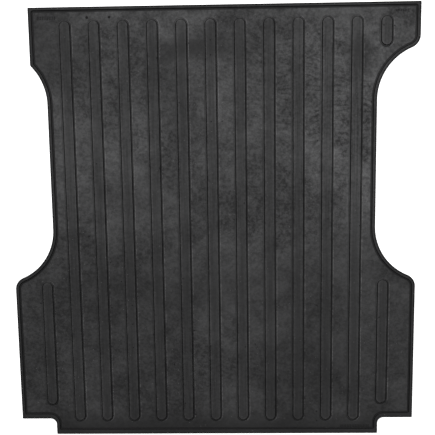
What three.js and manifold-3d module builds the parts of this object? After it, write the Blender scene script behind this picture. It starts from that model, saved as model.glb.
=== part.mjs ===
// A moulded rubber mat that lines the floor of a pickup truck's bed.
//
// Millimetres, +Z up, +Y towards the cab, +X towards the passenger side. The origin is under the middle of
// the mat's box, on the plane that the mat lies on. From the bottom up the moulding is: drain runners that
// stand on the bed floor, a flat web, and on the web a raised rim, tread ribs and three small blank panels.
import * as THREE from "three";
import { mergeVertices } from "three/addons/utils/BufferGeometryUtils.js";
import Module from "manifold-3d";

// Plan of the mat
const LENGTH = 1735;
const HALF_WIDTH = 808;
const FRONT = LENGTH / 2;
const REAR = -LENGTH / 2;

// The cut-out that the wheel housing stands in: a straight inner edge between two arcs, each of which
// meets the side of the mat in a rounded shoulder
const ARCH_HALF_GAP = 645; // centre line to the straight inner edge
const ARCH_MIDDLE = REAR + 1115;
const ARCH_HALF_STRAIGHT = 249;
const ARCH_RADIUS = 215;
const SHOULDER_RADIUS = 50;

// The front left tab is narrower than the right one
const FRONT_LEFT_HALF_WIDTH = 706;
const TAB_CORNER_RADIUS = 10;

// The notch at each rear corner, for the bed's corner post
const NOTCH_HALF_GAP = 666;
const NOTCH_DEPTH = 68;
const NOTCH_RADIUS = 25;

// Heights of the layers
const RUNNER_HEIGHT = 2;
const WEB_THICKNESS = 4.5;
const RAISED_HEIGHT = 3; // ribs and rim
const PANEL_HEIGHT = 0.7;
const WEB_TOP = RUNNER_HEIGHT + WEB_THICKNESS;
const DRAFT_RUN = 1.5; // how far a raised wall leans in over its height

// Widths of the rim at its top
const SIDE_RIM = 12;
const REAR_RIM = 19;
const FRONT_RIM = 11;

// Tread ribs
const RIB_PITCH = 113;
const RIB_FOOT_WIDTH = 44;
const LONG_RIBS = 11;
const RIB_REAR_END = REAR + 60;
const RIB_FRONT_END = FRONT - 52;
const SHORT_RIB_X = RIB_PITCH * (LONG_RIBS + 1) / 2;
const SHORT_FRONT_RIB_LENGTH = 112;
const SHORT_REAR_RIB_START = REAR + 130;
const SHORT_REAR_RIB_END = REAR + 650;

// Drain runners under the web, one below the middle of each land between ribs
const RUNNER_WIDTH = 30;
const RUNNER_MARGIN = 30; // from the mat's front and rear edges
const LONG_RUNNERS = LONG_RIBS + 1;
const OUTER_RUNNER_X = RIB_PITCH * (LONG_RUNNERS + 1) / 2;
const OUTER_RUNNER_ARCH_GAP = 32;

const ARC_DIVISIONS = 8; // each arc has twice as many sides

const wasm = await Module();
wasm.setup();

const rubber = {
  web: new THREE.MeshStandardMaterial({ color: 0x3a3a3a, roughness: 0.78, metalness: 0 }),
  raised: new THREE.MeshStandardMaterial({ color: 0x303030, roughness: 0.66, metalness: 0 }),
  rim: new THREE.MeshStandardMaterial({ color: 0x343434, roughness: 0.7, metalness: 0 }),
  under: new THREE.MeshStandardMaterial({ color: 0x282828, roughness: 0.85, metalness: 0 }),
};

const mat = new THREE.Group();

function addPiece(name, geometry, material) {
  const piece = new THREE.Mesh(geometry, material);
  piece.name = name;
  mat.add(piece);
}

// Where the shoulder circle, which touches the side line and the arch circle, has its centre, given as an
// offset from the arch circle's centre: outboard in x and away from the arch in y.
function shoulderOffset(halfWidth) {
  const x = halfWidth - SHOULDER_RADIUS - (ARCH_HALF_GAP + ARCH_RADIUS);
  const reach = ARCH_RADIUS + SHOULDER_RADIUS;
  return new THREE.Vector2(x, Math.sqrt(reach * reach - x * x));
}

// The mat's outline, counterclockwise from the rear left, drawn in from the true edge by the given insets.
function outline(inset = { side: 0, rear: 0, front: 0 }) {
  const { side, rear, front } = inset;
  const archX = ARCH_HALF_GAP + ARCH_RADIUS;
  const archRadius = ARCH_RADIUS + side;
  const rearArchY = ARCH_MIDDLE - ARCH_HALF_STRAIGHT;
  const frontArchY = ARCH_MIDDLE + ARCH_HALF_STRAIGHT;
  const shoulder = shoulderOffset(HALF_WIDTH);
  const lean = Math.atan2(shoulder.y, -shoulder.x); // angle at the arch centre, from the inboard direction
  const notchRadius = NOTCH_RADIUS + side;
  const notchX = NOTCH_HALF_GAP - side + notchRadius;
  const notchY = REAR + NOTCH_DEPTH + rear - notchRadius;
  const right = HALF_WIDTH - side;
  const shape = new THREE.Shape();

  // rear edge, then the right rear notch
  shape.moveTo(-(NOTCH_HALF_GAP - side), REAR + rear);
  shape.lineTo(NOTCH_HALF_GAP - side, REAR + rear);
  shape.absarc(notchX, notchY, notchRadius, Math.PI, Math.PI / 2, true);
  shape.lineTo(right, notchY + notchRadius);

  // right side: rear shoulder, wheel arch, front shoulder
  const shoulderX = archX + shoulder.x;
  const shoulderRadius = SHOULDER_RADIUS - side;
  shape.absarc(shoulderX, rearArchY - shoulder.y, shoulderRadius, 0, lean, false);
  shape.absarc(archX, rearArchY, archRadius, Math.PI + lean, Math.PI, true);
  shape.absarc(archX, frontArchY, archRadius, Math.PI, Math.PI - lean, true);
  shape.absarc(shoulderX, frontArchY + shoulder.y, shoulderRadius, -lean, 0, false);

  // front edge and the narrower left tab, whose corner rounds into the arch
  const left = FRONT_LEFT_HALF_WIDTH - side;
  const cornerRadius = Math.max(TAB_CORNER_RADIUS - side, 1);
  const cornerX = left - cornerRadius;
  const cornerReach = archRadius + cornerRadius;
  const cornerY = frontArchY + Math.sqrt(cornerReach ** 2 - (archX - cornerX) ** 2);
  const cornerLean = Math.atan2(cornerY - frontArchY, archX - cornerX);
  shape.lineTo(right, FRONT - front);
  shape.lineTo(-left, FRONT - front);
  shape.absarc(-cornerX, cornerY, cornerRadius, Math.PI, Math.PI + cornerLean, false);

  // left side: wheel arch, rear shoulder, rear notch
  shape.absarc(-archX, frontArchY, archRadius, cornerLean, 0, true);
  shape.absarc(-archX, rearArchY, archRadius, 0, -lean, true);
  shape.absarc(-shoulderX, rearArchY - shoulder.y, shoulderRadius, Math.PI - lean, Math.PI, false);
  shape.lineTo(-right, notchY + notchRadius);
  shape.absarc(-notchX, notchY, notchRadius, Math.PI / 2, 0, true);
  shape.closePath();
  return shape;
}

// A shape's corners, each once.
function cornersOf(shape) {
  const points = shape.getPoints(ARC_DIVISIONS);
  return points.filter((p, i) => p.distanceTo(points[(i + 1) % points.length]) > 1e-3);
}

// A closed solid between two outlines that have the same number of corners, low and high.
function taperedGeometry(low, lowZ, high, highZ) {
  const count = low.length;
  const positions = [
    ...low.flatMap((p) => [p.x, p.y, lowZ]),
    ...high.flatMap((p) => [p.x, p.y, highZ]),
  ];
  const faces = [];
  for (let i = 0; i < count; i++) {
    const next = (i + 1) % count;
    faces.push(i, next, count + next, i, count + next, count + i);
  }
  for (const [a, b, c] of THREE.ShapeUtils.triangulateShape(low, [])) faces.push(a, c, b);
  for (const [a, b, c] of THREE.ShapeUtils.triangulateShape(high, [])) {
    faces.push(count + a, count + b, count + c);
  }
  const geometry = new THREE.BufferGeometry();
  geometry.setAttribute("position", new THREE.Float32BufferAttribute(positions, 3));
  geometry.setIndex(faces);
  return geometry;
}

// A bar along Y with round ends, as an outline that a given amount has been taken off all round.
function barOutline(x, startY, endY, width, inset = 0) {
  const endRadius = width / 2;
  const radius = endRadius - inset;
  const shape = new THREE.Shape();
  shape.absarc(x, endY - endRadius, radius, 0, Math.PI, false);
  shape.absarc(x, startY + endRadius, radius, Math.PI, 2 * Math.PI, false);
  shape.closePath();
  return cornersOf(shape);
}

function solidFrom(geometry) {
  const bare = geometry.clone();
  bare.deleteAttribute("normal");
  bare.deleteAttribute("uv");
  const merged = mergeVertices(bare, 1e-4);
  const triVerts = new Uint32Array(merged.index.array);
  return new wasm.Manifold(
    new wasm.Mesh({ numProp: 3, vertProperties: merged.attributes.position.array, triVerts }),
  );
}

function geometryFrom(solid) {
  const mesh = solid.getMesh();
  const geometry = new THREE.BufferGeometry();
  geometry.setAttribute("position", new THREE.BufferAttribute(mesh.vertProperties, 3));
  geometry.setIndex(new THREE.BufferAttribute(mesh.triVerts, 1));
  return geometry;
}

// The web: the whole outline, flat on both faces.
function addWeb() {
  const geometry = new THREE.ExtrudeGeometry(outline(), {
    depth: WEB_THICKNESS,
    bevelEnabled: false,
    curveSegments: ARC_DIVISIONS,
  });
  geometry.translate(0, 0, RUNNER_HEIGHT);
  addPiece("base_sheet", geometry, rubber.web);
}

// The rim: a plate of the mat's outline with a tapered pocket taken out of it, cut by planes across the
// mat into the lengths that run between its corners.
function addRim() {
  const top = { side: SIDE_RIM, rear: REAR_RIM, front: FRONT_RIM };
  const foot = {
    side: SIDE_RIM + DRAFT_RUN,
    rear: REAR_RIM + DRAFT_RUN,
    front: FRONT_RIM + DRAFT_RUN,
  };
  const plate = new THREE.ExtrudeGeometry(outline(), {
    depth: RAISED_HEIGHT,
    bevelEnabled: false,
    curveSegments: ARC_DIVISIONS,
  });
  plate.translate(0, 0, WEB_TOP);
  const pocket = taperedGeometry(
    cornersOf(outline(foot)), WEB_TOP,
    cornersOf(outline(top)), WEB_TOP + RAISED_HEIGHT,
  );
  const ring = solidFrom(plate).subtract(solidFrom(pocket));

  const rearCut = REAR + foot.rear;
  const notchCut = REAR + NOTCH_DEPTH + foot.rear;
  const sideCut = REAR + 600;
  const leftTabCut = REAR + 1560;
  const rightTabCut = REAR + 1640;
  const frontCut = FRONT - foot.front;
  const both = [-HALF_WIDTH, HALF_WIDTH];
  const left = [-HALF_WIDTH, 0];
  const right = [0, HALF_WIDTH];
  const lengths = [
    ["rear_rim", both, REAR, rearCut],
    ["left_notch_rim", left, rearCut, notchCut],
    ["right_notch_rim", right, rearCut, notchCut],
    ["rear_left_rim", left, notchCut, sideCut],
    ["rear_right_rim", right, notchCut, sideCut],
    ["left_arch_rim", left, sideCut, leftTabCut],
    ["right_arch_rim", right, sideCut, rightTabCut],
    ["front_left_rim", left, leftTabCut, frontCut],
    ["front_right_rim", right, rightTabCut, frontCut],
    ["front_rim", both, frontCut, FRONT],
  ];
  for (const [name, [startX, endX], startY, endY] of lengths) {
    const window = new THREE.BoxGeometry(endX - startX, endY - startY, RAISED_HEIGHT);
    window.translate((startX + endX) / 2, (startY + endY) / 2, WEB_TOP + RAISED_HEIGHT / 2);
    addPiece(name, geometryFrom(ring.intersect(solidFrom(window))), rubber.rim);
  }
}

function addRib(name, x, startY, endY) {
  const geometry = taperedGeometry(
    barOutline(x, startY, endY, RIB_FOOT_WIDTH), WEB_TOP,
    barOutline(x, startY, endY, RIB_FOOT_WIDTH, DRAFT_RUN), WEB_TOP + RAISED_HEIGHT,
  );
  addPiece(name, geometry, rubber.raised);
}

function addRibs() {
  for (let i = 0; i < LONG_RIBS; i++) {
    const x = RIB_PITCH * (i - (LONG_RIBS - 1) / 2);
    addRib("long_rib_" + String(i + 1).padStart(2, "0"), x, RIB_REAR_END, RIB_FRONT_END);
  }
  const shortFrontStart = RIB_FRONT_END - SHORT_FRONT_RIB_LENGTH;
  addRib("short_rib_front_right", SHORT_RIB_X, shortFrontStart, RIB_FRONT_END);
  addRib("short_rib_rear_left", -SHORT_RIB_X, SHORT_REAR_RIB_START, SHORT_REAR_RIB_END);
  addRib("short_rib_rear_right", SHORT_RIB_X, SHORT_REAR_RIB_START, SHORT_REAR_RIB_END);
}

// A runner is narrower at the floor than at the web.
function addRunner(name, x, startY, endY) {
  const geometry = taperedGeometry(
    barOutline(x, startY, endY, RUNNER_WIDTH, DRAFT_RUN), 0,
    barOutline(x, startY, endY, RUNNER_WIDTH), RUNNER_HEIGHT,
  );
  addPiece(name, geometry, rubber.under);
}

function addRunners() {
  const rearEnd = REAR + RUNNER_MARGIN;
  const frontEnd = FRONT - RUNNER_MARGIN;
  for (let i = 0; i < LONG_RUNNERS; i++) {
    const x = RIB_PITCH * (i - (LONG_RUNNERS - 1) / 2);
    addRunner("drain_runner_" + String(i + 1).padStart(2, "0"), x, rearEnd, frontEnd);
  }
  // outboard of the arches the runners stop short of the arch circle
  const inboard = ARCH_HALF_GAP + ARCH_RADIUS - (OUTER_RUNNER_X + RUNNER_WIDTH / 2);
  const archReach = ARCH_HALF_STRAIGHT + Math.sqrt(ARCH_RADIUS ** 2 - inboard ** 2);
  const behindArch = ARCH_MIDDLE - archReach - OUTER_RUNNER_ARCH_GAP;
  const beforeArch = ARCH_MIDDLE + archReach + OUTER_RUNNER_ARCH_GAP;
  const notchEnd = rearEnd + NOTCH_DEPTH;
  addRunner("drain_runner_rear_left", -OUTER_RUNNER_X, notchEnd, behindArch);
  addRunner("drain_runner_rear_right", OUTER_RUNNER_X, notchEnd, behindArch);
  addRunner("drain_runner_front_right", OUTER_RUNNER_X, beforeArch, frontEnd);
}

// The blank moulded panels at three corners.
function addPanel(name, x, y, width, depth) {
  const geometry = new THREE.BoxGeometry(width, depth, PANEL_HEIGHT);
  geometry.translate(x, y, WEB_TOP + PANEL_HEIGHT / 2);
  addPiece(name, geometry, rubber.web);
}

addWeb();
addRim();
addRibs();
addRunners();
addPanel("mould_panel_front_left", -636, FRONT - 41, 70, 14);
addPanel("mould_panel_front_right", 736, FRONT - 33, 50, 8);
addPanel("mould_panel_rear_right", 573, REAR + 31, 122, 14);

export default mat;
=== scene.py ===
"""A moulded rubber mat for the bed of a pickup truck.

Metres, +Z up, +Y towards the cab, +X towards the passenger side. The mat is made of its web, the rim round
its edge, the tread ribs, three small moulded marks, two pin marks, and the drain runners and nibs underneath.
"""

import math

import bpy
import numpy as np
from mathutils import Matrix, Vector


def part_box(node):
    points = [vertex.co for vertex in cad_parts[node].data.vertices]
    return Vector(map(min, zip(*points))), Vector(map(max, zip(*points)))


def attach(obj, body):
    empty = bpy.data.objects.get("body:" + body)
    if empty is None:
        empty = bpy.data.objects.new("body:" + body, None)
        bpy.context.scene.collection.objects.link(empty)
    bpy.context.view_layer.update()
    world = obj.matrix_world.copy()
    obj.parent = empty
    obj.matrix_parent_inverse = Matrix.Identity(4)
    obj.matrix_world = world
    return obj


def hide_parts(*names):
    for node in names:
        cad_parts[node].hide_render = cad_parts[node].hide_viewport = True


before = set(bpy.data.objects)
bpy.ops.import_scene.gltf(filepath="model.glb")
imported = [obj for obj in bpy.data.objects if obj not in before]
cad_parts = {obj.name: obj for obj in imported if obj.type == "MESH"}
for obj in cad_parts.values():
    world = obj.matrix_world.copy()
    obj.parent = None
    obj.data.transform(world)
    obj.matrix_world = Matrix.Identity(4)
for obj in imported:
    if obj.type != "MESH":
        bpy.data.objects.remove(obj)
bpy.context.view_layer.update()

bl_info = {
    "name": "Truck Bed Liner",
    "version": (1, 0, 0),
    "blender": (4, 5, 0),
    "location": "3D View > Sidebar > Bed Liner",
    "description": "Makes a moulded rubber mat for a pickup's bed, piece by piece",
    "category": "Add Mesh",
}

BODY = "root"

WEB_LOW, WEB_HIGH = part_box("base_sheet")
LEFT_TAB_SIDE = -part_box("front_left_rim")[0][0]
NOTCH_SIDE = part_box("rear_rim")[1][0]
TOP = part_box("long_rib_06")[1][2]
WEB_TOP = WEB_HIGH[2]
WEB_BOTTOM = WEB_LOW[2]
FRONT = WEB_HIGH[1]
REAR = WEB_LOW[1]
SIDE = WEB_HIGH[0]

LONG_RIBS = [f"long_rib_{number:02d}" for number in range(1, 12)]
SHORT_RIBS = ["short_rib_front_right", "short_rib_rear_left", "short_rib_rear_right"]
RUNNERS = [f"drain_runner_{number:02d}" for number in range(1, 13)]
SHORT_RUNNERS = ["drain_runner_rear_left", "drain_runner_rear_right", "drain_runner_front_right"]
MARKS = ["mould_panel_front_left", "mould_panel_front_right", "mould_panel_rear_right"]

# Where the two pin marks are, across the mat
PIN_MARKS = (-0.477, -0.390)

# How many points each straight run and each arc of the outline has, and how far a run's points keep from
# the corner or the arc at its end
REAR_RUN, FRONT_RUN, SIDE_RUN, ARCH_RUN, TAB_RUN, NOTCH_RUN = 25, 27, 20, 18, 6, 4
CORNER_ARC, NOTCH_ARC, SHOULDER_ARC, ARCH_ARC = 8, 14, 12, 24
CORNER_GAP = 0.035
NOTCH_GAP = 0.05
ARC_GAP = 0.02

# Where the rim is divided: from the mat's rear or front edge, from its rear edge, and past a front shoulder
END_CUT = 0.0375
NOTCH_CUT = 0.1075
ARCH_CUT = 0.6
SHOULDER_CUT = 0.03

# The least radius that an inset leaves of a corner
LEAST_RADIUS = 0.0005

# How finely the other surfaces are divided: how far apart the points along a bar are, and counts of points
# and of rings
BAR_STEP = 0.04
END_ARC = 19
WEB_RINGS = 25
EDGE_RINGS = 5
FLANK_RINGS = 9
ROUND_RINGS = 6
APRON_RINGS = 7
FLAT_RINGS = 5
DOME_RINGS = 6
NIB_SIDES = 12

# How far up the mat the web's loops close, as a share of each point's own distance
SPINE_SHARE = 0.7

# A nib's section, from the middle of its end to inside the web, as shares of its radius and of its height
NIB_RADII = np.array((0.0, 0.55, 0.7, 0.78, 1.0, 1.0, 0.0))
NIB_DEPTHS = np.array((1.0, 1.0, 0.93, 0.75, 0.0, -0.3, -0.3))

# How far nibs keep from the mat's front and rear edges, and from its outline
NIB_END_GAP = 0.04
NIB_EDGE_GAP = 0.022

# Slow waves in the rubber: the radians of each in a metre across the mat and in a metre along it, and
# where it starts; and how high each lifts the rubber
WAVES = np.array(((7.1, 2.3, 0.6), (-3.1, 5.3, 1.9), (11.3, -6.7, 0.0)))
WAVE_HEIGHT = 0.00012

# How far each raised piece reaches into the piece under it, and how far its foot stands off that piece
EMBED = 0.0008
FOOT_GAP = 0.00002

# How far a rib's rounded foot goes past its box at each end, and how far in a runner's wall goes from its box
FLARE = 0.002
RUNNER_WALL_RUN = 0.003

# How the rubber gets lighter towards the front: two places along the mat and the share of bloom at each;
# and a band of painted shade along the rear edge: how far from the rear edge it is darkest and gone again
BLOOM_ALONG = (-0.30, 0.30)
BLOOM_SHARES = (0.33, 0.58)
REAR_SHADE_BAND = (0.01, 0.13)

# Smudges where bloom is thicker or thinner: the middle of each, its half width and half length, and how
# much it adds or takes away
SMUDGES = (
    ((0.60, 0.36), (0.42, 0.50), 0.42),
    ((0.42, 0.72), (0.26, 0.12), 0.26),
    ((-0.03, 0.73), (0.28, 0.12), -0.42),
    ((-0.25, 0.33), (0.20, 0.12), 0.18),
    ((-0.64, 0.74), (0.26, 0.28), -0.30),
    ((-0.15, 0.54), (0.16, 0.34), -0.20),
    ((-0.30, 0.13), (0.30, 0.12), -0.14),
    ((0.24, -0.02), (0.34, 0.16), 0.14),
    ((-0.20, -0.24), (0.70, 0.10), -0.10),
    ((-0.02, -0.52), (0.24, 0.26), 0.14),
    ((0.46, -0.55), (0.24, 0.26), -0.10),
    ((0.565, 0.66), (0.07, 0.13), -0.55),
)

# Where the cloth's strokes show most: the middle and half sizes of that place, and how many times as much
WIPED = ((0.38, 0.62), (0.40, 0.30), 2.8)

# How much is cut off the bottom of the bloom's mask, which leaves gaps in it
BLOOM_GAPS = 0.09

# How bright the surroundings are as light on the mat, and as the backdrop behind it
FILL = 0.32
BACKDROP = 1.0

# The floor: how much light it gives off by itself, which keeps it pale far away and by the mat's edge, how
# far below the mat it is, and its finish
FLOOR_GLOW = 0.72
FLOOR_DROP = 0.0002
FLOOR_ROUGHNESS = 0.9
FLOOR_SHINE = 0.1
WHITE = (1.0, 1.0, 1.0, 1.0)

# The width of the camera's sensor, in millimetres
SENSOR = 36.0

# Rubber's finish: how shiny it is, where 0.5 is plastic, how much rougher bloom makes it, how far specks
# cover it and how far pits darken it with painted shade, how deep a pit is in millimetres, and how strong
# the bump is
RUBBER_SHINE = 0.05
BLOOM_ROUGHNESS = 0.25
SPECK_COVER = 0.4
PIT_COVER = 0.8
PIT_DEPTH = 0.3
BUMP_STRENGTH = 0.6
MILLIMETRE = 0.001

# Specks and pits: cells to the metre, a spot's radius in cells, and the share of cells that have none; and
# how much of a spot's radius is at its full strength
SPECKS = (46.0, 0.085, 0.93)
PITS = (24.0, 0.095, 0.96)
SPOT_CORE = 0.4

# The upward part of the normal at which a face counts as a wall, and as level. Walls and rounded edges get
# the darkest rubber: no bloom, and painted shade that makes them darker than the rubber's own colour
LEVEL_NORMALS = (0.95, 0.9985)

# The radius of each loop of a bar's hidden bottom, as a share of the apron's
SKIRT = np.array((1.0, 0.5, 0.0))

# How far out on an apron its painted shade ends and its painted highlight starts, and how much lighter a
# wall that faces the cab, towards the key light, is painted
SHADE_SHARE = 0.85
HIGHLIGHT_SHARE = 0.65
FRONT_WALL_LIGHT = 0.35

# How much painted shade a rib's apron has: what its distance along the rib adds, up to this at the rear
# end, and what facing the passenger's side and facing the rear, away from the key light, add
SHADE_ALONG = 0.3
SHADE_SIDEWAYS = 0.7
SHADE_REARWARD = 0.7

# How far the painted shade on an apron widens round the rear end of a rib, where 1 is all the way
REAR_WIDENING = 0.75

# How much painted highlight lies along a rib's shoulders, and the share of it that is gone on the passenger's
# side, away from the key light
SHOULDER_HIGHLIGHT = 0.16
SHOULDER_HIGHLIGHT_LOSS = 0.5

# Edges that turn by more than this are shaded as creases
SHARP_ANGLE = math.radians(38.0)

# Attributes that say how much painted shade a point on a foot has, and how much painted highlight
PAINTED_SHADE = "clean"
PAINTED_HIGHLIGHT = "swept"


# ---------------------------------------------------------------------------------------------------------
# Sizes and colours
# ---------------------------------------------------------------------------------------------------------


def length(name, default, description):
    return bpy.props.FloatProperty(
        name=name, description=description, default=default, min=0.0, unit="LENGTH", precision=4
    )


def angle(name, degrees, description):
    return bpy.props.FloatProperty(
        name=name, description=description, default=math.radians(degrees), subtype="ANGLE"
    )


def colour(name, default, description):
    return bpy.props.FloatVectorProperty(
        name=name, description=description, default=default, size=3, min=0.0, max=1.0, subtype="COLOR"
    )


def position(name, default, description):
    return bpy.props.FloatVectorProperty(
        name=name, description=description, default=default, size=3, subtype="TRANSLATION", unit="LENGTH"
    )


def power(name, default, description):
    return bpy.props.FloatProperty(
        name=name, description=description, default=default, min=0.0, unit="POWER"
    )


class BedLinerSizes(bpy.types.PropertyGroup):
    """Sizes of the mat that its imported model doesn't state as a box."""

    arch_half_gap: length("Arch Half Gap", 0.645, "Centre line to the straight edge of a wheel arch")
    arch_middle: length("Arch Middle", 1.115, "Rear edge to the middle of the wheel arches")
    arch_half_straight: length("Arch Half Straight", 0.249, "Half the straight edge of a wheel arch")
    arch_radius: length("Arch Radius", 0.215, "Radius at each end of a wheel arch")
    shoulder_radius: length("Shoulder Radius", 0.05, "Radius where a wheel arch meets the side")
    tab_corner_radius: length("Tab Corner Radius", 0.01, "The same on the narrow front tab")
    notch_depth: length("Notch Depth", 0.068, "Depth of the rear corner notches")
    notch_radius: length("Notch Radius", 0.025, "Radius inside the rear corner notches")
    outer_corner: length("Outer Corner", 0.003, "Radius of the mat's corners in plan")
    inner_corner: length("Inner Corner", 0.009, "Radius of the rim's inside corners in plan")
    side_rim: length("Side Rim", 0.0118, "Mat's side to the rim's inner shoulder")
    rear_rim: length("Rear Rim", 0.0182, "Mat's rear edge to the rim's inner shoulder")
    front_rim: length("Front Rim", 0.0102, "Mat's front edge to the rim's inner shoulder")
    rib_half_flat: length("Rib Half Flat", 0.0182, "Half the flat width of a rib's top")
    shoulder_round: length("Shoulder Round", 0.002, "Radius at the top of raised walls")
    foot_round: length("Foot Round", 0.0045, "Radius at the foot of raised walls")
    wall_slope: angle("Wall Slope", 57.0, "Steepest slope of raised walls, from level")
    flank_run: length("Flank Run", 0.0076, "How far in the mat's outer edge is rounded, on top")
    flank_drop: length("Flank Drop", 0.0042, "How far down the mat's outer edge is rounded, on top")
    edge_round: length("Edge Round", 0.0015, "Radius along the mat's bottom edge")
    apron: length("Apron", 0.0048, "How far a raised wall's foot runs out level, over the web")
    crown: length("Crown", 0.00012, "How much higher a rib's middle is than its shoulders")
    runner_wall: bpy.props.FloatProperty(
        name="Runner Wall", description="A runner's wall as a share of a rib's", default=0.6, min=0.1, max=1.0
    )
    bar_radius: length("Bar Radius", 0.0016, "Half the width of the small bars in the blank marks")
    bar_pitch: length("Bar Pitch", 0.0066, "Distance between the small bars in the blank marks")
    pin_radius: length("Pin Radius", 0.0050, "Radius of the pin marks by the front edge")
    pin_height: length("Pin Height", 0.0009, "How far the pin marks stand above the web")
    nib_radius: length("Nib Radius", 0.006, "Radius of a nib at its root")
    nib_height: length("Nib Height", 0.0017, "How far a nib stands below the web")
    nib_pitch: length("Nib Pitch", 0.038, "Distance between nibs along the mat")
    nib_offset: length("Nib Offset", 0.019, "Distance from the middle of a lane to its nibs")


class BedLinerColours(bpy.types.PropertyGroup):
    """Colours of the rubber and of what lies on it."""

    # Painted shade: darker than the rubber's own colour, on walls, edges, feet, pits and pin marks
    bare_and_shaded: colour("Bare Rubber", (0.0030, 0.0030, 0.0031), "Clean rubber on walls and edges")
    land: colour("Land Rubber", (0.0120, 0.0120, 0.0122), "Rubber of the web between the ribs")
    rib: colour("Rib Rubber", (0.0122, 0.0122, 0.0124), "Rubber of the ribs and the rim")
    bloom: colour("Bloom", (0.0780, 0.0780, 0.0795), "Greyish bloom on the rubber")
    # Pale specks, and the same colour as painted highlight along ribs' shoulders and by their feet
    dust_and_highlight: colour("Dust", (0.1300, 0.1300, 0.1300), "Specks of pale dust and dust swept against ribs")
    floor: colour("Floor", (0.6, 0.6, 0.6), "The floor under the mat, which also glows")


class BedLinerStage(bpy.types.PropertyGroup):
    """The camera, the lights and the floor."""

    camera_place: position("Camera Place", (0.0926, 0.4640, 2.9713), "Where the camera stands")
    camera_turn: bpy.props.FloatVectorProperty(
        name="Camera Turn", description="How the camera is turned from looking straight down",
        default=(math.radians(-8.138), math.radians(1.334), math.radians(-0.802)),
        size=3, subtype="EULER",
    )
    lens: bpy.props.FloatProperty(name="Lens", description="Focal length", default=62.07, unit="CAMERA")
    key_place: position("Key Light Place", (-3.4, 5.2, 4.2), "Where the key light hangs")
    key_size: length("Key Light Size", 1.3, "Width of the key light")
    key_power: power("Key Light Power", 560.0, "Power of the key light")
    overhead_place: position("Overhead Light Place", (1.2, 0.8, 4.8), "Where the overhead light hangs")
    overhead_size: length("Overhead Light Size", 3.0, "Width of the overhead light")
    overhead_power: power("Overhead Light Power", 240.0, "Power of the overhead light")
    floor_half: length("Floor Half", 30.0, "Half the width of the floor")


# ---------------------------------------------------------------------------------------------------------
# Surfaces as arrays
# ---------------------------------------------------------------------------------------------------------


def arc(middle_x, middle_y, radius, start, end, count):
    """Points on a circle: its middle plus the radius times the cosine and sine of an angle that goes evenly
    from start to end, in radians."""
    turn = np.linspace(start, end, count)
    return np.column_stack((middle_x + radius * np.cos(turn), middle_y + radius * np.sin(turn)))


def run(x, y):
    """Points of a straight run, of which either x or y is one number."""
    return np.column_stack(np.broadcast_arrays(x, y))


def half_outline(sizes, rim, past, side, corner):
    """Half of the mat's outline on +X, from the middle of the rear edge to the middle of the front edge,
    and the places in it where the rim is divided.

    Every edge moves in by rim times that edge's rim width, plus past. An arc whose middle is off the mat
    grows by that much, and one whose middle is on the mat shrinks. The arc that joins a wheel arch to a
    side has its middle one radius in from the side, at a distance from the arch's middle equal to both
    radii together. Each inset gives as many points as the next, one for one.
    """
    side_in = rim * sizes.side_rim + past
    rear = REAR + rim * sizes.rear_rim + past
    front = FRONT - rim * sizes.front_rim - past
    tab_rear = rear + sizes.notch_depth
    corner_round = sizes.outer_corner + rim * (sizes.inner_corner - sizes.outer_corner) - past
    round_off = max(corner_round, LEAST_RADIUS)

    notch_x = NOTCH_SIDE - side_in
    notch_round = sizes.notch_radius + side_in
    wide, narrow = SIDE - side_in, side - side_in
    arch_in = sizes.arch_half_gap - side_in
    arch_x = sizes.arch_half_gap + sizes.arch_radius
    arch_round = sizes.arch_radius + side_in
    arch_rear = REAR + sizes.arch_middle - sizes.arch_half_straight
    arch_front = REAR + sizes.arch_middle + sizes.arch_half_straight

    def joining(edge, radius):
        """The radius of the arc that joins a side to an arch, its middle and the angle that it turns."""
        radius = max(radius - side_in, LEAST_RADIUS)
        across = arch_x - (edge - radius)
        along = math.sqrt((arch_round + radius) ** 2 - across**2)
        return radius, edge - radius, along, math.atan2(along, across)

    r_round, r_x, r_along, r_lean = joining(wide, sizes.shoulder_radius)
    f_round, f_x, f_along, f_lean = joining(narrow, corner)
    quarter, half = math.pi / 2, math.pi
    parts = [
        run(np.linspace(0.0, NOTCH_SIDE - CORNER_GAP, REAR_RUN), rear),
        arc(notch_x - round_off, rear + round_off, round_off, -quarter, 0.0, CORNER_ARC),
        run(notch_x, [REAR + END_CUT]),
        arc(notch_x + notch_round, tab_rear - notch_round, notch_round, half, quarter, NOTCH_ARC),
        run(np.linspace(NOTCH_SIDE + NOTCH_GAP, SIDE - CORNER_GAP, NOTCH_RUN), tab_rear),
        arc(wide - round_off, tab_rear + round_off, round_off, -quarter, 0.0, CORNER_ARC),
        run(wide, np.linspace(REAR + NOTCH_CUT, REAR + ARCH_CUT, SIDE_RUN)),
        arc(r_x, arch_rear - r_along, r_round, 0.0, r_lean, SHOULDER_ARC)[:-1],
        arc(arch_x, arch_rear, arch_round, half + r_lean, half, ARCH_ARC),
        run(arch_in, np.linspace(arch_rear + ARC_GAP, arch_front - ARC_GAP, ARCH_RUN)),
        arc(arch_x, arch_front, arch_round, half, half - f_lean, ARCH_ARC),
        arc(f_x, arch_front + f_along, f_round, -f_lean, 0.0, SHOULDER_ARC)[1:],
        run(narrow, np.linspace(arch_front + f_along + SHOULDER_CUT, FRONT - END_CUT, TAB_RUN)),
        arc(narrow - round_off, front - round_off, round_off, 0.0, quarter, CORNER_ARC),
        run(np.linspace(side - CORNER_GAP, 0.0, FRONT_RUN), front),
    ]
    starts = np.cumsum([0] + [len(part) for part in parts])
    cuts = [starts[2], starts[6], starts[7] - 1, starts[12], starts[13] - 1]
    return np.concatenate(parts), cuts


def mat_outline(sizes, rim, past):
    """The mat's whole outline, counterclockwise from the middle of the rear edge: the wide right half and
    then the left half, which is mirrored and runs back. See half_outline."""
    right, cuts = half_outline(sizes, rim, past, SIDE, sizes.shoulder_radius)
    left, _ = half_outline(sizes, rim, past, LEFT_TAB_SIDE, sizes.tab_corner_radius)
    back = left[-2:0:-1] * (-1.0, 1.0)
    return np.concatenate((right, back)), cuts


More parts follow.
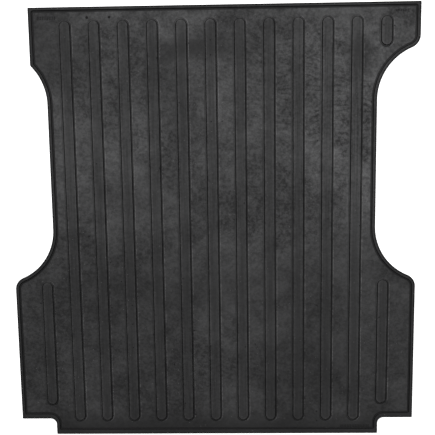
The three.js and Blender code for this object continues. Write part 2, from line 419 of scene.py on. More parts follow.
def capsule(x, rear, front, radius):
    """A loop round a bar along Y: a half circle of that radius at each end of the line from rear to front,
    and straight sides between them. At radius 0 it folds onto the line."""
    along = np.linspace(rear, front, max(int((front - rear) / BAR_STEP), 1) + 1)[1:-1]
    return np.concatenate((
        run(x + radius, along),
        arc(x, front, radius, 0.0, math.pi, END_ARC),
        run(x - radius, along[::-1]),
        arc(x, rear, radius, math.pi, 2 * math.pi, END_ARC),
    ))


def wall(sizes, height):
    """A raised wall seen end on: how far out from the flat top, and how far below it. It turns down
    through the shoulder's arc, goes straight at the steepest slope, and turns level again through the
    foot's arc."""
    slope = sizes.wall_slope
    turn = np.linspace(0.0, slope, ROUND_RINGS)
    top, foot = sizes.shoulder_round, sizes.foot_round
    straight = (height - (top + foot) * (1 - math.cos(slope))) / math.tan(slope)
    out = np.concatenate((
        top * np.sin(turn),
        (top + foot) * math.sin(slope) + straight - foot * np.sin(turn[::-1]),
    ))
    down = np.concatenate((top * (1 - np.cos(turn)), height - foot * (1 - np.cos(turn[::-1]))))
    return out, down


def stacked(loops, heights):
    """Loops of (x, y), each lifted to its height, as rows of a grid of points."""
    flat = np.array(loops)
    levels = np.broadcast_to(np.array(heights, float)[:, None, None], (*flat.shape[:2], 1))
    return np.concatenate((flat, levels), axis=2)


def quads(rows, columns, wrap_rows, wrap_columns):
    """The four corners of each cell of a grid whose points are numbered row by row."""
    row = np.arange(rows if wrap_rows else rows - 1)[:, None]
    column = np.arange(columns if wrap_columns else columns - 1)[None, :]
    down, right = (row + 1) % rows, (column + 1) % columns
    cells = np.stack((
        row * columns + column,
        row * columns + right,
        down * columns + right,
        down * columns + column,
    ), axis=-1)
    return cells.reshape(-1, 4)


def welded(points, cells):
    """Points that share a place become one, and a cell that loses a corner by it becomes a triangle.
    Returns the points, a list of faces and, for each point kept, its number among the points given."""
    _, kept, index = np.unique(np.round(points, 7), axis=0, return_index=True, return_inverse=True)
    cells = index.reshape(-1)[cells]
    lost = cells == np.roll(cells, -1, axis=1)
    whole = cells[lost.sum(axis=1) == 0]
    short = lost.sum(axis=1) == 1
    triangles = cells[short][~lost[short]].reshape(-1, 3)
    return points[kept], whole.tolist() + triangles.tolist(), kept


def closed_loops(grid):
    """The mesh of a grid whose rows are closed loops. See welded."""
    return welded(grid.reshape(-1, 3), quads(*grid.shape[:2], False, True))


def volume(points, faces):
    """Six times the volume inside the faces, each cut into a fan of triangles. It is below zero where the
    faces point inwards."""
    total = 0.0
    for corners in {len(face) for face in faces}:
        some = np.array([face for face in faces if len(face) == corners])
        for second in range(1, corners - 1):
            a, b, c = points[some[:, 0]], points[some[:, second]], points[some[:, second + 1]]
            total += np.einsum("ij,ij->", a, np.cross(b, c))
    return total


def settled(points):
    """The points, lifted a little where the rubber doesn't lie quite flat, by long waves that cross. Each
    wave is 1 plus the sine of an angle that grows evenly across and along the mat."""
    across, along, start = WAVES.T
    angles = points[:, 0:1] * across + points[:, 1:2] * along + start
    lifted = points.copy()
    lifted[:, 2] += WAVE_HEIGHT * (1.0 + np.sin(angles)).sum(axis=1)
    return lifted


# ---------------------------------------------------------------------------------------------------------
# Pieces
# ---------------------------------------------------------------------------------------------------------


def add_piece(name, points, faces, material, slot, nodes=(), **masks):
    """Puts arrays into a new mesh object, which rides on the mat's body and stands for the given nodes. The
    faces are turned outwards. Each mask is stored as an attribute of the points."""
    if volume(points, faces) < 0:
        faces = [face[::-1] for face in faces]
    mesh = bpy.data.meshes.new(name)
    mesh.from_pydata(settled(points).tolist(), [], faces)
    for mask, values in masks.items():
        mesh.attributes.new(mask, "FLOAT", "POINT").data.foreach_set("value", values.astype(np.float32))
    if mesh.validate():
        raise RuntimeError(f"{name} has faces that can't be used")
    mesh.shade_smooth()
    mesh.set_sharp_from_angle(angle=SHARP_ANGLE)
    mesh.materials.append(material)
    piece = bpy.data.objects.new(name, mesh)
    bpy.context.scene.collection.objects.link(piece)
    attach(piece, BODY)
    if nodes:
        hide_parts(*nodes)


def web_surface(sizes):
    """The web as a grid of loops: from the centre line out over the top, down the edge and in again below.

    A loop on the top or underside is the outline drawn towards the centre line: a point goes straight from
    its place on the outline to a place on the centre line at a share of its distance up the mat.
    """
    outline, _ = mat_outline(sizes, 0.0, 0.0)
    half = len(outline) // 2
    up = outline[: half + 1, 1]
    spine = np.column_stack((np.zeros(len(outline)), SPINE_SHARE * np.concatenate((up, up[-2:0:-1]))))
    inward = np.linspace(1.0, 0.0, WEB_RINGS + 1)[:-1]
    turn = np.linspace(0.0, math.pi / 2, EDGE_RINGS)
    edge = sizes.edge_round
    loops, heights = [], []
    for share in inward:
        loops.append(outline + share * (spine - outline))
        heights.append(WEB_TOP)
    loops.append(outline)
    heights.append(WEB_TOP)
    for bend in turn:
        loops.append(mat_outline(sizes, 0.0, edge * (1 - math.cos(bend)))[0])
        heights.append(WEB_BOTTOM + edge * (1 - math.sin(bend)))
    under = loops[-1]
    for share in inward[::-1]:
        loops.append(under + share * (spine - under))
        heights.append(WEB_BOTTOM)
    return stacked(loops, heights)


def apron(sizes, foot):
    """The rings of a foot's apron, which runs out level past the foot: where each is, how much painted shade
    it has and how much painted highlight. The painted shade is darkest by the foot, less and less as the
    square of the distance, and the painted highlight lies towards its edge."""
    share = np.linspace(0.0, 1.0, APRON_RINGS + 1)[1:]
    bare_and_shaded = 1.0 - np.clip(share / SHADE_SHARE, 0.0, 1.0) ** 2
    dust_and_highlight = np.clip((share - HIGHLIGHT_SHARE) / (SHADE_SHARE - HIGHLIGHT_SHARE), 0.0, 1.0)
    return foot + sizes.apron * share, bare_and_shaded, dust_and_highlight


def rim_surface(sizes):
    """The rim as a grid: each loop is the mat's outline at one point of the rim's section. The section
    goes up the mat's edge, over a quarter ellipse to the flat top, down the wall, out over the apron, and
    back below the web's surface. Returns the grid and how much painted shade each of its points has, which
    is a dark band on the apron by the wall's foot."""
    turn = np.linspace(0.0, math.pi / 2, FLANK_RINGS)
    out, down = wall(sizes, TOP - WEB_TOP - FOOT_GAP)
    past, bare_and_shaded, _ = apron(sizes, out[-1])

    # each point: how much of the rim's width it is in from the mat's edge, how far it is in past that, its
    # height, and how much painted shade it has
    section = [(0.0, 0.0, WEB_TOP, 0.0)]
    section += [
        (0.0, sizes.flank_run * (1 - math.cos(bend)), TOP - sizes.flank_drop * (1 - math.sin(bend)), 0.0)
        for bend in turn
    ]
    section += [(1.0, run_out, TOP - drop, 0.0) for run_out, drop in zip(out, down)]
    section += [(1.0, run_out, WEB_TOP + FOOT_GAP, clean) for run_out, clean in zip(past, bare_and_shaded)]
    section += [(1.0, past[-1], WEB_TOP - EMBED, 0.0), (0.0, sizes.edge_round, WEB_TOP - EMBED, 0.0)]
    grid = stacked(
        [mat_outline(sizes, rim, inset)[0] for rim, inset, _, _ in section],
        [height for _, _, height, _ in section],
    )
    clean = np.array([mask for _, _, _, mask in section])
    return grid, np.broadcast_to(clean[:, None], grid.shape[:2])


def bar_surface(sizes, x, rear, front, half_flat, top, web, wall_share=1.0):
    """A rib or a runner as a grid of loops round it: from its middle out over the flat, down the wall, out
    over the apron, and back to its middle inside the web. From its middle to its shoulders the flat sinks by
    the crown, as the square of the distance. wall_share scales the wall, for a lower bar.

    Returns the grid, how much painted shade its points have and how much painted highlight. The apron's
    painted shade is stronger towards the rear and on the passenger's side, away from the key light. On the
    passenger's side it also has painted highlight past its painted shade, and the shoulders have some all
    round. The wall at the front, which faces the key light, is painted lighter, as painted shade below zero."""
    up = math.copysign(1.0, top - web)
    out, down = wall(sizes, (abs(top - web) - FOOT_GAP - sizes.crown) / wall_share)
    across = np.linspace(0.0, 1.0, FLAT_RINGS + 1)[:-1]
    end = half_flat + wall_share * out[-1]
    past, bare_and_shaded, dust_and_highlight = apron(sizes, end)
    radius = np.concatenate((across * half_flat, half_flat + wall_share * out, past, past[-1] * SKIRT))
    sunk = np.concatenate((sizes.crown * across**2, sizes.crown + wall_share * down))
    foot, bottom = web + up * FOOT_GAP, web - up * EMBED
    height = np.concatenate((top - up * sunk, [foot] * len(past), [bottom] * len(SKIRT)))
    grid = stacked([capsule(x, rear + end, front - end, r) for r in radius], height)

    rearward = np.clip((rear + end - grid[..., 1]) / end, 0.0, 1.0)
    forward = np.clip((grid[..., 1] - front + end) / end, 0.0, 1.0)
    sideways = np.clip((grid[..., 0] - x) / end, 0.0, 1.0)
    along = np.clip((front - grid[..., 1]) / (front - rear), 0.0, 1.0)

    def rings(flat=0.0, walls=0.0, level=0.0):
        """One value for each ring of the flat, the walls and the apron, and 0 for the hidden bottom."""
        parts = ((flat, across), (walls, out), (level, past), (0.0, SKIRT))
        return np.concatenate([np.broadcast_to(value, len(part)) for value, part in parts])[:, None]

    # Painted shade on the apron, which widens round the rib's rear end, away from the key light
    widened = rings(level=bare_and_shaded) ** (1.0 - REAR_WIDENING * rearward)
    share = SHADE_ALONG * along + SHADE_SIDEWAYS * sideways + SHADE_REARWARD * rearward
    clean = widened * np.clip(share, 0.0, 1.0) - rings(walls=FRONT_WALL_LIGHT) * forward
    # Painted highlight along the shoulders, less on the passenger's side, and past the apron's painted shade
    # there
    shoulders = rings(flat=SHOULDER_HIGHLIGHT * across**3, walls=SHOULDER_HIGHLIGHT)
    swept = rings(level=dust_and_highlight) * sideways + shoulders * (1.0 - SHOULDER_HIGHLIGHT_LOSS * sideways)
    return grid, clean, swept


class BEDLINER_OT_web(bpy.types.Operator):
    """Makes the web, the flat sheet that everything else is moulded on"""

    bl_idname = "bed_liner.web"
    bl_label = "Web"

    def execute(self, context):
        sizes = context.scene.bed_liner_sizes
        grid = web_surface(sizes)
        points, faces, _ = closed_loops(grid)
        add_piece("web", points, faces, web_rubber(), "web", ["base_sheet"])
        return {"FINISHED"}


class BEDLINER_OT_rim(bpy.types.Operator):
    """Makes the raised rim round the mat's edge, in the lengths between its corners"""

    bl_idname = "bed_liner.rim"
    bl_label = "Rim"

    def execute(self, context):
        sizes = context.scene.bed_liner_sizes
        grid, clean = rim_surface(sizes)
        rows, columns = grid.shape[:2]
        _, cuts = mat_outline(sizes, 0.0, 0.0)
        notch, rear, arch, shoulder, front = cuts
        lengths = {
            "rear_rim": (-notch, notch),
            "right_notch_rim": (notch, rear),
            "rear_right_rim": (rear, arch),
            "right_arch_rim": (arch, shoulder),
            "front_right_rim": (shoulder, front),
            "front_rim": (front, columns - front),
            "front_left_rim": (columns - front, columns - shoulder),
            "left_arch_rim": (columns - shoulder, columns - arch),
            "rear_left_rim": (columns - arch, columns - rear),
            "left_notch_rim": (columns - rear, columns - notch),
        }
        for name, (start, end) in lengths.items():
            along = np.arange(start, end + 1) % columns
            count = len(along)
            first = np.arange(rows) * count
            caps = [first[::-1].tolist(), (first + count - 1).tolist()]
            faces = quads(rows, count, True, False).tolist() + caps
            points, mask = grid[:, along].reshape(-1, 3), clean[:, along].reshape(-1)
            add_piece(name + "_top", points, faces, rim_rubber(), "rim", [name], clean=mask)
        return {"FINISHED"}


class BEDLINER_OT_ribs(bpy.types.Operator):
    """Makes the tread ribs along the mat"""

    bl_idname = "bed_liner.ribs"
    bl_label = "Tread Ribs"

    def execute(self, context):
        sizes = context.scene.bed_liner_sizes
        for name in LONG_RIBS + SHORT_RIBS:
            low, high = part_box(name)
            x = (low[0] + high[0]) / 2
            rear, front = low[1] - FLARE, high[1] + FLARE
            grid, clean, swept = bar_surface(sizes, x, rear, front, sizes.rib_half_flat, TOP, WEB_TOP)
            points, faces, kept = closed_loops(grid)
            clean, swept = clean.reshape(-1)[kept], swept.reshape(-1)[kept]
            add_piece(name + "_top", points, faces, rib_rubber(), "rib", [name], clean=clean, swept=swept)
        return {"FINISHED"}


class BEDLINER_OT_runners(bpy.types.Operator):
    """Makes the drain runners that the mat stands on"""

    bl_idname = "bed_liner.runners"
    bl_label = "Drain Runners"

    def execute(self, context):
        sizes = context.scene.bed_liner_sizes
        for name in RUNNERS + SHORT_RUNNERS:
            low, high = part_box(name)
            x = (low[0] + high[0]) / 2
            half_flat = (high[0] - low[0]) / 2 - RUNNER_WALL_RUN
            grid, _, _ = bar_surface(
                sizes, x, low[1], high[1], half_flat, low[2], WEB_BOTTOM, sizes.runner_wall
            )
            points, faces, _ = closed_loops(grid)
            add_piece(name + "_skin", points, faces, underside_rubber(), "underside", [name])
        return {"FINISHED"}


def within(points, loop):
    """Whether each point is inside a loop, which a line from it along X crosses an odd number of times."""
    ahead = np.roll(loop, -1, axis=0)
    x, y = points[:, 0:1], points[:, 1:2]
    spans = (loop[:, 1] > y) != (ahead[:, 1] > y)
    rise = ahead[:, 1] - loop[:, 1]
    share = (y - loop[:, 1]) / np.where(rise == 0, 1.0, rise)
    crossing = loop[:, 0] + share * (ahead[:, 0] - loop[:, 0])
    return (spans & (crossing > x)).sum(axis=1) % 2 == 1


class BEDLINER_OT_nibs(bpy.types.Operator):
    """Makes the nibs underneath, in pairs of rows between the runners"""

    bl_idname = "bed_liner.nibs"
    bl_label = "Drain Nibs"

    def execute(self, context):
        sizes = context.scene.bed_liner_sizes
        middles = [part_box(name) for name in LONG_RIBS + SHORT_RIBS[1:]]
        lanes = np.unique(np.round([(low[0] + high[0]) / 2 for low, high in middles], 6))
        up = np.arange(REAR + NIB_END_GAP, FRONT - NIB_END_GAP, sizes.nib_pitch)
        x = np.concatenate((lanes - sizes.nib_offset, lanes + sizes.nib_offset))
        shift = np.repeat((0.0, sizes.nib_pitch / 2), len(lanes))
        places = np.stack((
            np.broadcast_to(x[:, None], (len(x), len(up))),
            up[None, :] + shift[:, None],
        ), axis=-1).reshape(-1, 2)
        places = places[within(places, mat_outline(sizes, 0.0, NIB_EDGE_GAP)[0])]

        # one nib: loops from the middle of its end, round its rounded shoulder, to inside the web
        turn = np.linspace(0.0, 2 * math.pi, NIB_SIDES, endpoint=False)
        ring = np.column_stack((np.cos(turn), np.sin(turn)))
        loops = sizes.nib_radius * NIB_RADII[:, None, None] * ring
        grid = stacked(loops, WEB_BOTTOM - sizes.nib_height * NIB_DEPTHS)
        nib, faces, _ = closed_loops(grid)

        # and a copy of it at each place
        offsets = np.column_stack((places, np.zeros(len(places))))
        points = (nib[None] + offsets[:, None]).reshape(-1, 3)
        first = (np.arange(len(places)) * len(nib))[:, None, None]
        every = []
        for corners in (3, 4):
            some = np.array([face for face in faces if len(face) == corners])
            every += (some[None] + first).reshape(-1, corners).tolist()
        add_piece("drain_nibs", points, every, underside_rubber(), "underside")
        return {"FINISHED"}


class BEDLINER_OT_marks(bpy.types.Operator):
    """Makes the small blank moulded marks at three corners and the two pin marks by the front edge"""

    bl_idname = "bed_liner.marks"
    bl_label = "Moulded Marks"

    def execute(self, context):
        sizes = context.scene.bed_liner_sizes
        for name in MARKS:
            low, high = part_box(name)
            middles = evenly(low[0] + sizes.bar_radius, high[0] - sizes.bar_radius, sizes.bar_pitch)
            rear, front = low[1] + sizes.bar_radius, high[1] - sizes.bar_radius
            bars = [dome(x, rear, front, sizes.bar_radius, high[2] - WEB_TOP) for x in middles]
            points, faces = together(bars)
            add_piece(name + "_bars", points, faces, mark_rubber(), "web", [name])

        low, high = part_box(MARKS[0])
        up = (low[1] + high[1]) / 2
        pins = [dome(x, up, up, sizes.pin_radius, sizes.pin_height) for x in PIN_MARKS]
        points, faces = together(pins)
        add_piece("pin_marks", points, faces, pin_rubber(), "web")
        return {"FINISHED"}


def evenly(low, high, pitch):
    """Places a pitch apart, as many as fit between low and high, with the same left over at both ends."""
    count = int((high - low) / pitch) + 1
    return (low + high) / 2 + pitch * (np.arange(count) - (count - 1) / 2)


def dome(x, rear, front, radius, height):
    """A low bar on the web with round ends, each loop round it at a radius that goes as the cosine of an
    angle and at a height that goes as its sine. Returns its points and faces."""
    turn = np.linspace(math.pi / 2, 0.0, DOME_RINGS)
    loops = [capsule(x, rear, front, radius * math.cos(bend)) for bend in turn]
    levels = (WEB_TOP + height * np.sin(turn)).tolist()
    loops += [loops[-1], loops[0]]
    levels += [WEB_TOP - EMBED / 2] * 2
    grid = stacked(loops, levels)
    points, faces, _ = closed_loops(grid)
    return points, faces


def together(shapes):
    """Several shapes' points and faces as one set, with the faces' point numbers moved up to suit."""
    points, faces, first = [], [], 0
    for some, cells in shapes:
        points.append(some)
        faces += [[corner + first for corner in cell] for cell in cells]
        first += len(some)
    return np.concatenate(points), faces


# ---------------------------------------------------------------------------------------------------------
# Materials
# ---------------------------------------------------------------------------------------------------------


def give(tree, node, inputs):
    """Gives each of a node's inputs that is named or numbered a value or a link."""
    for name, value in inputs.items():
        if isinstance(value, bpy.types.NodeSocket):
            tree.links.new(value, node.inputs[name])
        else:
            node.inputs[name].default_value = value


def new_node(tree, kind, inputs=None, **settings):
    """Adds a node with these settings and inputs."""
    node = tree.nodes.new(kind)
    for name, value in settings.items():
        setattr(node, name, value)
    give(tree, node, inputs or {})
    return node


def new_group(name, inputs, outputs):
    """A shader node group with these inputs, of which one without a default is a vector, and these outputs,
    which are numbers. Returns the group and its tree's ends."""
    group = bpy.data.node_groups.new(name, "ShaderNodeTree")
    for label, default in inputs.items():
        kind = "NodeSocketVector" if default is None else "NodeSocketFloat"
        socket = group.interface.new_socket(label, in_out="INPUT", socket_type=kind)
        if default is not None:
            socket.default_value = default
    for label in outputs:
        group.interface.new_socket(label, in_out="OUTPUT", socket_type="NodeSocketFloat")
    return group, group.nodes.new("NodeGroupInput"), group.nodes.new("NodeGroupOutput")


def math_node(tree, operation, *values, clamp=False):
    inputs = dict(enumerate(values))
    return new_node(tree, "ShaderNodeMath", inputs, operation=operation, use_clamp=clamp).outputs[0]


def remap(tree, value, low, high, to_low=0.0, to_high=1.0, smooth=True):
    kind = "SMOOTHSTEP" if smooth else "LINEAR"
    node = new_node(tree, "ShaderNodeMapRange", {
        "Value": value, "From Min": low, "From Max": high, "To Min": to_low, "To Max": to_high,
    }, interpolation_type=kind)
    return node.outputs["Result"]


def opaque(value):
    """A colour with its alpha, or a link as it is."""
    return value if isinstance(value, bpy.types.NodeSocket) else (*value, 1.0)


def mix_colour(tree, factor, first, second):
    node = new_node(tree, "ShaderNodeMix", data_type="RGBA")
    give(tree, node, {0: factor, 6: opaque(first), 7: opaque(second)})
    return node.outputs[2]


def noise(tree, vector, scale, detail, roughness=0.5, distortion=0.0, output="Fac"):
    node = new_node(tree, "ShaderNodeTexNoise", {
        "Vector": vector, "Scale": scale, "Detail": detail, "Roughness": roughness, "Distortion": distortion,
    })
    return node.outputs[output]


def stretched(tree, vector, scale, turn=0.0):
    """Coordinates turned about Z and then scaled, so that a pattern read from them is drawn out."""
    turned = new_node(tree, "ShaderNodeMapping", {"Vector": vector, "Rotation": (0.0, 0.0, turn)})
    sized = new_node(tree, "ShaderNodeMapping", {"Vector": turned.outputs[0], "Scale": scale})
    return sized.outputs[0]


def bent(tree, vector, scale, detail, reach, back=0.0):
    """Coordinates pushed about in plan by noise: by reach times its colour, less back."""
    push = new_node(tree, "ShaderNodeMapping", {
        "Vector": noise(tree, vector, scale, detail, output="Color"),
        "Location": (-back, -back, 0.0),
        "Scale": (reach, reach, 0.0),
    })
    inputs = {0: vector, 1: push.outputs[0]}
    return new_node(tree, "ShaderNodeVectorMath", inputs, operation="ADD").outputs[0]


def ellipse(tree, vector, middle, half, core, outside, inmost):
    """A value that is outside at an ellipse's edge and past it, and goes smoothly to inmost at the share
    core of the way out from its middle."""
    # a mapping of the texture kind takes its place away and divides by its scale
    shifted = new_node(tree, "ShaderNodeMapping", {
        "Vector": vector, "Location": (*middle, 0.0), "Scale": (*half, 1.0),
    }, vector_type="TEXTURE").outputs[0]
    away = new_node(tree, "ShaderNodeVectorMath", {0: shifted}, operation="LENGTH").outputs["Value"]
    return remap(tree, away, 1.0, core, outside, inmost)


def bloom_group():
    """Greyish bloom on rubber: big clouds, a smudged mottle and the strokes of a cloth that wiped it. Mask
    is how much of it there is. Each part is noise with its contrast raised, and they are added by
    weight."""
    name = "Cloudy Bloom"
    if name in bpy.data.node_groups:
        return bpy.data.node_groups[name]
    inputs = {"Vector": None, "Clouds": 0.34, "Mottle": 0.28, "Grit": 0.42, "Wipes": 0.10}
    tree, given, out = new_group(name, inputs, ["Mask"])
    place = given.outputs["Vector"]
    clouds = noise(tree, place, scale=2.6, detail=4.0, roughness=0.55, distortion=0.4)
    mottle = noise(tree, place, scale=15.0, detail=6.0, roughness=0.66, distortion=0.3)
    grit = noise(tree, place, scale=88.0, detail=3.0, roughness=0.75)
    curly = bent(tree, place, scale=5.0, detail=1.0, reach=0.16)
    drawn_out = stretched(tree, curly, (9.0, 95.0, 1.0), turn=0.2)
    strokes = remap(tree, noise(tree, drawn_out, 1.0, detail=4.0, roughness=0.6), low=0.38, high=0.63)
    middle, half, most = WIPED
    strokes = math_node(tree, "MULTIPLY", strokes, ellipse(tree, curly, middle, half, 0.3, 1.0, most))

    total = math_node(tree, "MULTIPLY", remap(tree, clouds, low=0.42, high=0.59), given.outputs["Clouds"])
    mottle = remap(tree, mottle, low=0.38, high=0.63)
    total = math_node(tree, "MULTIPLY_ADD", mottle, given.outputs["Mottle"], total)
    grit = remap(tree, grit, low=0.36, high=0.64)
    total = math_node(tree, "MULTIPLY_ADD", grit, given.outputs["Grit"], total)
    total = math_node(tree, "MULTIPLY_ADD", strokes, given.outputs["Wipes"], total)
    total = math_node(tree, "SUBTRACT", total, BLOOM_GAPS, clamp=True)
    tree.links.new(total, out.inputs["Mask"])
    return tree


def spread_group():
    """How bloom is spread over the whole mat: more of it in the front part, so the rubber is lighter there,
    down to the share Rear by the rear edge, where the loss is a band of painted shade, and more or less of it
    in each of the smudges. A smudge is an ellipse whose share fades towards its edge, and noise bends them
    all. Mask is the share of bloom that is left."""
    name = "Spread Of Bloom"
    if name in bpy.data.node_groups:
        return bpy.data.node_groups[name]
    tree, given, out = new_group(name, {"Vector": None, "Rear": 0.15}, ["Mask"])
    place = given.outputs["Vector"]
    along = new_node(tree, "ShaderNodeSeparateXYZ", {0: place}).outputs["Y"]
    total = remap(tree, along, *BLOOM_ALONG, *BLOOM_SHARES)
    curly = bent(tree, place, scale=4.0, detail=3.0, reach=0.24, back=0.12)
    for middle, half, share in SMUDGES:
        total = math_node(tree, "ADD", total, ellipse(tree, curly, middle, half, 0.1, 0.0, share))
    # Painted shade: the rubber darkens in a band along the rear edge
    thin, full = REAR_SHADE_BAND
    rear = remap(tree, along, REAR + thin, REAR + full, given.outputs["Rear"], 1.0)
    tree.links.new(math_node(tree, "MULTIPLY", total, rear, clamp=True), out.inputs["Mask"])
    return tree


def streak_group():
    """Fine streaks along the mat, as a mould's tool marks leave them: noise drawn out along Y."""
    name = "Lengthwise Streaks"
    if name in bpy.data.node_groups:
        return bpy.data.node_groups[name]
    tree, given, out = new_group(name, {"Vector": None}, ["Mask"])
    place = given.outputs["Vector"]
    coarse = noise(tree, stretched(tree, place, (150.0, 3.0, 1.0)), 1.0, detail=2.0, roughness=0.6)
    fine = noise(tree, stretched(tree, place, (620.0, 9.0, 1.0)), 1.0, detail=1.0)
    both = math_node(tree, "MULTIPLY_ADD", fine, 0.4, coarse)
    tree.links.new(remap(tree, both, low=0.54, high=0.86), out.inputs["Mask"])
    return tree


def grain_group():
    """The rubber's moulded grain: a fine pebble on a slow unevenness. Height is in millimetres."""
    name = "Moulded Grain"
    if name in bpy.data.node_groups:
        return bpy.data.node_groups[name]
    tree, given, out = new_group(name, {"Vector": None, "Pebble": 0.05, "Unevenness": 0.25}, ["Height"])
    place = given.outputs["Vector"]
    pebble = noise(tree, place, scale=620.0, detail=3.0, roughness=0.6)
    uneven = noise(tree, place, scale=34.0, detail=4.0, roughness=0.55)
    low = math_node(tree, "MULTIPLY", uneven, given.outputs["Unevenness"])
    both = math_node(tree, "MULTIPLY_ADD", pebble, given.outputs["Pebble"], low)
    tree.links.new(both, out.inputs["Height"])
    return tree


def speck_group():
    """Scattered specks: pale specks and small pits, whose darkness is painted shade. Each is a round spot,
    whose radius is a share of a cell, in the few cells of a pattern whose random number is above a share."""
    name = "Specks And Pits"
    if name in bpy.data.node_groups:
        return bpy.data.node_groups[name]
    tree, given, out = new_group(name, {"Vector": None}, ["Dust", "Pits"])
    place = given.outputs["Vector"]
    for label, (scale, radius, empty) in (("Dust", SPECKS), ("Pits", PITS)):
        inputs = {"Vector": place, "Scale": scale}
        cells = new_node(tree, "ShaderNodeTexVoronoi", inputs, voronoi_dimensions="2D")
        spot = remap(tree, cells.outputs["Distance"], radius, SPOT_CORE * radius)
        chance = new_node(tree, "ShaderNodeSeparateColor", {"Color": cells.outputs["Color"]}).outputs[0]
        chosen = math_node(tree, "GREATER_THAN", chance, empty)
        tree.links.new(math_node(tree, "MULTIPLY", spot, chosen), out.inputs[label])
    return tree


def level_group():
    """How level the surface is: 1 where bloom and pale specks can lie, 0 on walls and rounded edges, which
    then get the darkest rubber as painted shade. It reads the upward part of the normal."""
    name = "Level Faces"
    if name in bpy.data.node_groups:
        return bpy.data.node_groups[name]
    tree, _, out = new_group(name, {}, ["Mask"])
    geometry = tree.nodes.new("ShaderNodeNewGeometry")
    upward = new_node(tree, "ShaderNodeSeparateXYZ", {0: geometry.outputs["Normal"]}).outputs["Z"]
    tree.links.new(remap(tree, upward, *LEVEL_NORMALS), out.inputs["Mask"])
    return tree


def rubber(name, base, bloom, streaks=0.0, roughness=0.6, unevenness=0.25, rear=0.15, **patterns):
    """A moulded rubber, whose base is the name of one of the colours. bloom is the most that bloom covers
    it where it lies thickest, streaks is how much of that follows fine streaks along the mat, and rear is
    the share left by the rear edge, where the loss is a band of painted shade. patterns are inputs of the
    bloom's group. On walls and edges the rubber has no bloom and is the darkest colour, painted shade; feet
    also get painted shade and painted highlight from their attributes."""
    if name in bpy.data.materials:
        return bpy.data.materials[name]
    colours = bpy.context.scene.bed_liner_colours
    material = bpy.data.materials.new(name)
    material.use_nodes = True
    tree = material.node_tree
    shader = tree.nodes["Principled BSDF"]
    place = tree.nodes.new("ShaderNodeTexCoord").outputs["Object"]

    def use(group, **inputs):
        node = new_node(tree, "ShaderNodeGroup", node_tree=group)
        give(tree, node, inputs)
        return node.outputs

    cloudy = use(bloom_group(), Vector=place, **patterns)["Mask"]
    spread = use(spread_group(), Vector=place, Rear=rear)["Mask"]
    level = use(level_group())["Mask"]
    specks = use(speck_group(), Vector=place)
    streaky = use(streak_group(), Vector=place)["Mask"]
    amount = math_node(tree, "MULTIPLY_ADD", streaky, streaks, cloudy)
    amount = math_node(tree, "MULTIPLY", amount, spread)
    amount = math_node(tree, "MULTIPLY", amount, bloom, clamp=True)
    # Painted shade from the feet's attribute turns the rubber to the darkest colour; below zero it paints
    # walls lighter
    clean = new_node(tree, "ShaderNodeAttribute", attribute_name=PAINTED_SHADE).outputs["Fac"]
    level = math_node(tree, "SUBTRACT", level, clean, clamp=True)
    # Painted highlight from the feet's attribute, patchy like the bloom, in the pale specks' colour
    swept = new_node(tree, "ShaderNodeAttribute", attribute_name=PAINTED_HIGHLIGHT).outputs["Fac"]
    swept = math_node(tree, "MULTIPLY", swept, cloudy)
    specks_and_highlight = math_node(tree, "MAXIMUM", math_node(tree, "MULTIPLY", specks["Dust"], SPECK_COVER), swept)

    tone = mix_colour(tree, amount, getattr(colours, base), colours.bloom)
    tone = mix_colour(tree, specks_and_highlight, tone, colours.dust_and_highlight)
    # Pits painted dark: painted shade in the small hollows
    tone = mix_colour(tree, math_node(tree, "MULTIPLY", specks["Pits"], PIT_COVER), tone, colours.bare_and_shaded)
    # Walls and rounded edges get the darkest rubber: no bloom, and painted shade
    tone = mix_colour(tree, level, colours.bare_and_shaded, tone)
    tree.links.new(tone, shader.inputs["Base Color"])
    rough = remap(tree, amount, 0.0, 1.0, roughness, roughness + BLOOM_ROUGHNESS, smooth=False)
    tree.links.new(rough, shader.inputs["Roughness"])
    height = use(grain_group(), Vector=place, Unevenness=unevenness)["Height"]
    height = math_node(tree, "MULTIPLY_ADD", specks["Pits"], -PIT_DEPTH, height)
    bump = new_node(tree, "ShaderNodeBump", {
        "Height": height, "Distance": MILLIMETRE, "Strength": BUMP_STRENGTH,
    })
    tree.links.new(bump.outputs["Normal"], shader.inputs["Normal"])
    shader.inputs["Specular IOR Level"].default_value = RUBBER_SHINE
    return material


def web_rubber():
    return rubber("Web Rubber", "land", bloom=1.0)


def rib_rubber():
    return rubber(
        "Rib Rubber", "rib", bloom=0.36, streaks=0.55, roughness=0.55, unevenness=0.15, Wipes=0.06
    )


def rim_rubber():
    # The rim keeps most of its bloom by the rear edge, so it takes little of the painted shade there
    return rubber(
        "Rim Rubber", "rib", bloom=0.35, roughness=0.55, unevenness=0.15, rear=0.8, Mottle=0.25, Wipes=0.0
    )


def mark_rubber():
    return rubber("Mark Rubber", "land", bloom=0.4, unevenness=0.0, Wipes=0.0)


def pin_rubber():
    # The pin marks are the darkest rubber: painted shade standing in for the shade in small moulded dimples
    return rubber("Pin Rubber", "bare_and_shaded", bloom=0.15, unevenness=0.0, Wipes=0.0)


def underside_rubber():
    return rubber("Underside Rubber", "rib", bloom=0.2, Wipes=0.0)


# ---------------------------------------------------------------------------------------------------------
# Stage
# ---------------------------------------------------------------------------------------------------------


def add_light(name, stands, size, power):
    """A square soft light, turned to shine at the middle of the mat."""
    lamp = bpy.data.lights.new(name, "AREA")
    lamp.shape = "SQUARE"
    lamp.size = size
    lamp.energy = power
    light = bpy.data.objects.new(name, lamp)
    bpy.context.scene.collection.objects.link(light)
    x, y, z = stands
    light.location = stands
    light.rotation_euler = (math.atan2(math.hypot(x, y), z), 0.0, math.atan2(x, -y))
    light.visible_camera = False


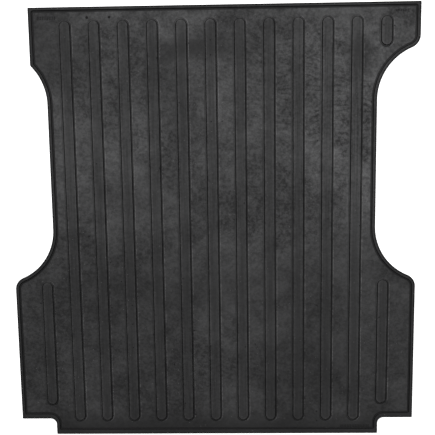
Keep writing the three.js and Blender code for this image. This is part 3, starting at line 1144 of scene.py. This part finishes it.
class BEDLINER_OT_stage(bpy.types.Operator):
    """Makes the floor, the lights and the camera"""

    bl_idname = "bed_liner.stage"
    bl_label = "Stage"

    def execute(self, context):
        scene = context.scene
        stage, colours = scene.bed_liner_stage, scene.bed_liner_colours
        signs = ((-1, -1), (1, -1), (1, 1), (-1, 1))
        corners = [(x * stage.floor_half, y * stage.floor_half, -FLOOR_DROP) for x, y in signs]
        mesh = bpy.data.meshes.new("floor")
        mesh.from_pydata(corners, [], [(0, 1, 2, 3)])
        floor = bpy.data.objects.new("floor", mesh)
        scene.collection.objects.link(floor)
        paint = bpy.data.materials.new("Pale Floor")
        paint.use_nodes = True
        shader = paint.node_tree.nodes["Principled BSDF"]
        shader.inputs["Base Color"].default_value = (*colours.floor, 1.0)
        shader.inputs["Roughness"].default_value = FLOOR_ROUGHNESS
        shader.inputs["Specular IOR Level"].default_value = FLOOR_SHINE
        shader.inputs["Emission Color"].default_value = WHITE
        shader.inputs["Emission Strength"].default_value = FLOOR_GLOW
        mesh.materials.append(paint)

        add_light("key_light", stage.key_place, stage.key_size, stage.key_power)
        add_light("overhead_light", stage.overhead_place, stage.overhead_size, stage.overhead_power)

        world = bpy.data.worlds.new("Studio")
        world.use_nodes = True
        background = world.node_tree.nodes["Background"]
        background.inputs["Color"].default_value = WHITE
        seen = world.node_tree.nodes.new("ShaderNodeLightPath").outputs["Is Camera Ray"]
        strength = math_node(world.node_tree, "MULTIPLY_ADD", seen, BACKDROP - FILL, FILL)
        world.node_tree.links.new(strength, background.inputs["Strength"])
        scene.world = world
        scene.view_settings.view_transform = "Standard"

        lens = bpy.data.cameras.new("camera")
        lens.lens = stage.lens
        lens.sensor_width = SENSOR
        camera = bpy.data.objects.new("camera", lens)
        camera.location = stage.camera_place
        camera.rotation_euler = stage.camera_turn
        scene.collection.objects.link(camera)
        scene.camera = camera
        return {"FINISHED"}


# ---------------------------------------------------------------------------------------------------------
# The add-on
# ---------------------------------------------------------------------------------------------------------

STEPS = (
    BEDLINER_OT_stage,
    BEDLINER_OT_web,
    BEDLINER_OT_rim,
    BEDLINER_OT_ribs,
    BEDLINER_OT_marks,
    BEDLINER_OT_runners,
    BEDLINER_OT_nibs,
)


class BEDLINER_PT_panel(bpy.types.Panel):
    """Lists the pieces of the bed liner in the sidebar"""

    bl_idname = "BEDLINER_PT_panel"
    bl_label = "Bed Liner"
    bl_space_type = "VIEW_3D"
    bl_region_type = "UI"
    bl_category = "Bed Liner"

    def draw(self, context):
        for step in STEPS:
            self.layout.operator(step.bl_idname)


CLASSES = (BedLinerSizes, BedLinerColours, BedLinerStage, *STEPS, BEDLINER_PT_panel)


def register():
    for cls in CLASSES:
        bpy.utils.register_class(cls)
    bpy.types.Scene.bed_liner_sizes = bpy.props.PointerProperty(type=BedLinerSizes)
    bpy.types.Scene.bed_liner_colours = bpy.props.PointerProperty(type=BedLinerColours)
    bpy.types.Scene.bed_liner_stage = bpy.props.PointerProperty(type=BedLinerStage)


def unregister():
    del bpy.types.Scene.bed_liner_sizes
    del bpy.types.Scene.bed_liner_colours
    del bpy.types.Scene.bed_liner_stage
    for cls in reversed(CLASSES):
        bpy.utils.unregister_class(cls)


def main():
    """Makes the stage and every piece."""
    register()
    bpy.ops.bed_liner.stage()
    bpy.ops.bed_liner.web()
    bpy.ops.bed_liner.rim()
    bpy.ops.bed_liner.ribs()
    bpy.ops.bed_liner.marks()
    bpy.ops.bed_liner.runners()
    bpy.ops.bed_liner.nibs()


if __name__ == "__main__":
    main()
